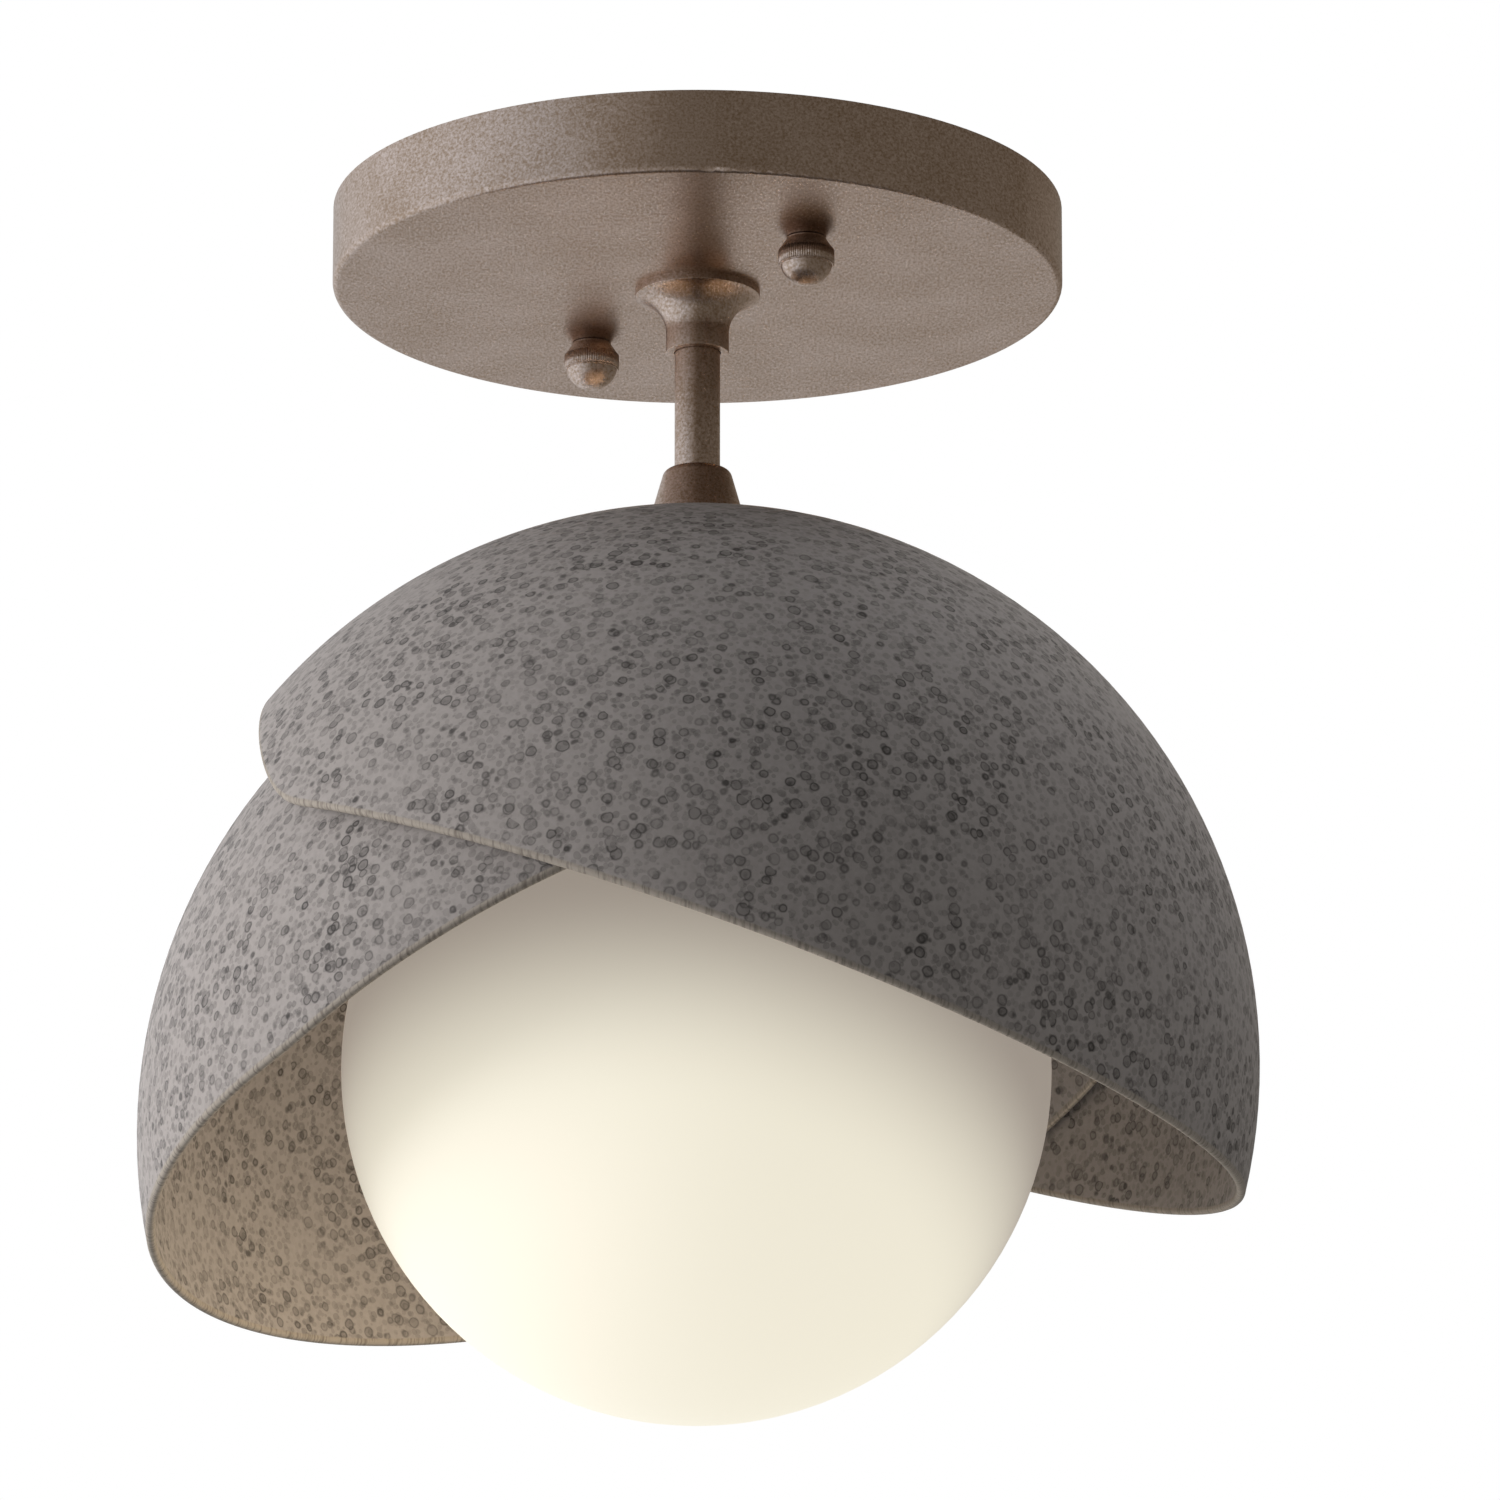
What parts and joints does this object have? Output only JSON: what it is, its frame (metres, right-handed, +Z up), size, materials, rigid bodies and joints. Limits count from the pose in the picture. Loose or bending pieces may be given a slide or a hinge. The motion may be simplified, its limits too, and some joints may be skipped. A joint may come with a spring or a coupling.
{
  "type": "semi flush ceiling light",
  "caption": "Semi flush ceiling light: round canopy, short stem and overlapping round shades with slanting rims that partly cover an opal glass globe around its bulb.",
  "frame": {"origin": "middle of the crossbar's top face, on the stem's axis, in the plane of the ceiling", "axes": "+Z up into the ceiling along the stem; -Y towards the viewer of the picture; +X to the viewer's right, the side to which the outer shade hangs lowest"},
  "size_m": [0.2182, 0.2182, 0.2456],
  "materials": {
    "bronze_metal": "satin brown bronze with a fine grain",
    "stone_coat": "matte stone grey with small dark mottled rings",
    "opal_glass": "etched opal white",
    "zinc_steel": "zinc plated",
    "green_screw": "green dyed zinc",
    "socket_plastic": "white heat resistant plastic",
    "socket_brass": "plain",
    "bulb_metal": "plain",
    "bulb_plastic": "white",
    "bulb_insulator": "black with a bright tip",
    "gasket_rubber": "pale silicone"
  },
  "bodies": {
    "box_bar": {"box_strap": "zinc_steel", "strap_eyelet": "zinc_steel", "ground_screw": "green_screw"},
    "swivel_bar": {"swivel_strap": "zinc_steel", "stud_front": "zinc_steel", "stud_rear": "zinc_steel", "stud_nut_front": "zinc_steel", "stud_nut_rear": "zinc_steel"},
    "light": {"canopy": "bronze_metal", "stem_top_washer": "zinc_steel", "stem_top_nut": "zinc_steel", "stem_collar": "bronze_metal", "stem_tube": "bronze_metal", "cone_cap": "bronze_metal", "outer_shade": "stone_coat", "shade_spacer": "bronze_metal", "inner_shade": "stone_coat", "holder_seat": "bronze_metal", "globe_holder": "bronze_metal", "globe_gasket": "gasket_rubber", "stem_low_washer": "zinc_steel", "stem_low_nut": "zinc_steel", "socket_body": "socket_plastic", "socket_shell": "socket_brass", "socket_contact": "socket_brass"},
    "front_nut": {"cap_nut_front": "bronze_metal"},
    "rear_nut": {"cap_nut_rear": "bronze_metal"},
    "globe": {"globe_glass": "opal_glass"},
    "bulb": {"bulb_tip": "bulb_insulator", "bulb_base": "bulb_metal", "bulb_housing": "bulb_plastic", "bulb_glass": "bulb_plastic"}
  },
  "joints": [
    {"name": "crossbar_swivel", "type": "hinge", "parent": "box_bar", "child": "swivel_bar", "pos_m": [0, 0, 0], "axis": [0, 0, 1], "range_deg": [-80, 15]},
    {"name": "canopy_lowering", "type": "slide", "parent": "swivel_bar", "child": "light", "axis": [0, 0, -1], "range_m": [0, 0.03]},
    {"name": "front_nut_unscrewing", "type": "slide", "parent": "light", "child": "front_nut", "axis": [0, 0, -1], "range_m": [0, 0.012]},
    {"name": "rear_nut_unscrewing", "type": "slide", "parent": "light", "child": "rear_nut", "axis": [0, 0, -1], "range_m": [0, 0.012]},
    {"name": "globe_lowering", "type": "slide", "parent": "light", "child": "globe", "axis": [0, 0, -1], "range_m": [0, 0.095]},
    {"name": "bulb_unscrewing", "type": "slide", "parent": "light", "child": "bulb", "axis": [0, 0, -1], "range_m": [0, 0.028]}
  ]
}
